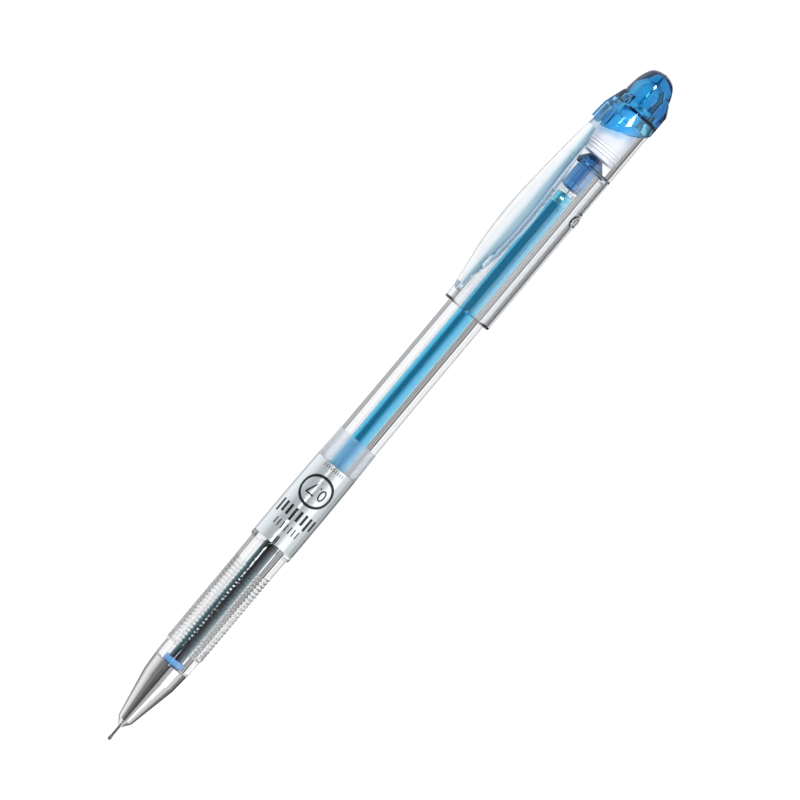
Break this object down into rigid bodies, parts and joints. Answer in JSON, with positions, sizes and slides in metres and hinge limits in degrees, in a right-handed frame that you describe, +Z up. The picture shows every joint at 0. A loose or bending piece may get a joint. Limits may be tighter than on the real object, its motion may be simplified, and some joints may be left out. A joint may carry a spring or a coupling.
{
  "type": "capped gel pen",
  "caption": "Clear-barrelled gel pen with a metal nose cone, needle tip, ringed grip, visible ink tube and a posted clear cap with a long clip and a tinted crown.",
  "frame": {"origin": "on the surface the pen lies on, under the middle of its bounding box", "axes": "+X along the pen towards the writing tip, +Z up; the clip is on the -Y side, turned down until its edge touches the surface"},
  "size_m": [0.1488, 0.0116, 0.01],
  "materials": {
    "ball": "polished",
    "needle_steel": "bright",
    "holder": "gloss",
    "blue_clear": "clear blue, gloss",
    "feed": "smoked, gloss",
    "tube": "natural, slightly milky",
    "ink": "liquid",
    "follower": "clear gel",
    "plated_cone": "mirror plate",
    "clear": "clear, polished",
    "label": "silver film",
    "frosted": "frosted film",
    "white": "satin",
    "seal": "soft"
  },
  "bodies": {
    "barrel": {"barrel": "clear", "label_film": "label", "film_margin": "frosted", "tail_plug": "blue_clear"},
    "refill": {"tip_holder": "holder", "needle_tube": "needle_steel", "refill_collar": "blue_clear", "feed_tube": "feed", "ink_tube": "tube", "ink_column": "ink", "ink_follower": "follower"},
    "nose": {"nose_cone": "plated_cone"},
    "ball": {"writing_ball": "ball"},
    "cap": {"cap_body": "clear", "inner_cap": "white", "tip_seal": "seal", "crown": "blue_clear"},
    "clip": {"clip": "clear"}
  },
  "joints": [
    {"name": "refill_travel", "type": "slide", "parent": "barrel", "child": "refill", "axis": [1, 0, 0], "range_m": [0, 0.0035]},
    {"name": "nose_turn", "type": "hinge", "parent": "refill", "child": "nose", "pos_m": [0.0655, 0.00093, 0.00485], "axis": [1, 0, 0], "range_deg": [0, 1260.5]},
    {"name": "ball_roll", "type": "hinge", "parent": "refill", "child": "ball", "pos_m": [0.07418, 0.00093, 0.00485], "axis": [0, 1, 0], "continuous": true},
    {"name": "cap_pull", "type": "slide", "parent": "barrel", "child": "cap", "axis": [-1, 0, 0], "range_m": [0, 0.04]},
    {"name": "clip_flex", "type": "hinge", "parent": "cap", "child": "clip", "pos_m": [-0.06358, -0.00406, 0.00305], "axis": [0, 0.3402, -0.9404], "range_deg": [0, 4], "stiffness_Nm_per_rad": 1}
  ],
  "couplings": [
    {"joint": "nose_turn", "follows": "refill_travel", "rad_per_m": 6283.2}
  ]
}
